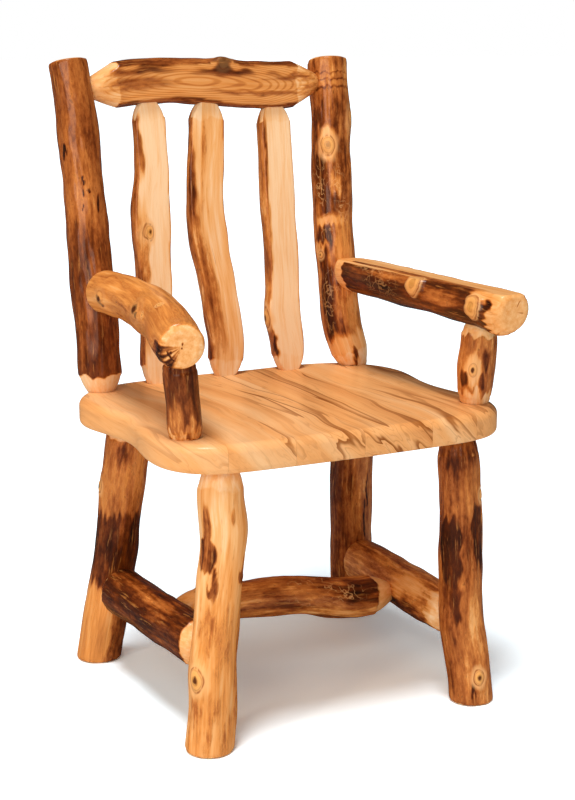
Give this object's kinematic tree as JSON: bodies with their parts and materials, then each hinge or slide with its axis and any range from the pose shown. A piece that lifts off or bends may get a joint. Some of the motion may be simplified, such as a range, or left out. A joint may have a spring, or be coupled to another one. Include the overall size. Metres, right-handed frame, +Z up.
{
  "type": "log armchair",
  "caption": "Rustic armchair of peeled aspen logs with a glued-up board seat, half-log back spindles and crooked log arms.",
  "frame": {"origin": "floor under the middle of the chair's whole box", "axes": "+Z up, -Y towards the sitter's front, +X to the right of a viewer who faces the chair"},
  "size_m": [0.5796, 0.57, 0.9719],
  "materials": {
    "peeled_log": "clear satin over peeled wood and inner bark",
    "planed_log": "clear satin over planed and peeled wood",
    "seat_wood": "clear satin over planed boards"
  },
  "bodies": {
    "root": {"front_left_leg": "peeled_log", "front_right_leg": "peeled_log", "rear_left_leg": "peeled_log", "rear_right_leg": "peeled_log", "left_side_stretcher": "peeled_log", "right_side_stretcher": "peeled_log", "centre_stretcher": "peeled_log", "left_back_post": "peeled_log", "right_back_post": "peeled_log", "crest_rail": "planed_log", "left_spindle": "planed_log", "centre_spindle": "planed_log", "right_spindle": "planed_log", "left_arm": "peeled_log", "right_arm": "peeled_log", "left_arm_support": "peeled_log", "right_arm_support": "peeled_log", "seat_board_1": "seat_wood", "seat_board_2": "seat_wood", "seat_board_3": "seat_wood", "seat_board_4": "seat_wood", "seat_board_5": "seat_wood", "seat_board_6": "seat_wood"}
  },
  "joints": []
}
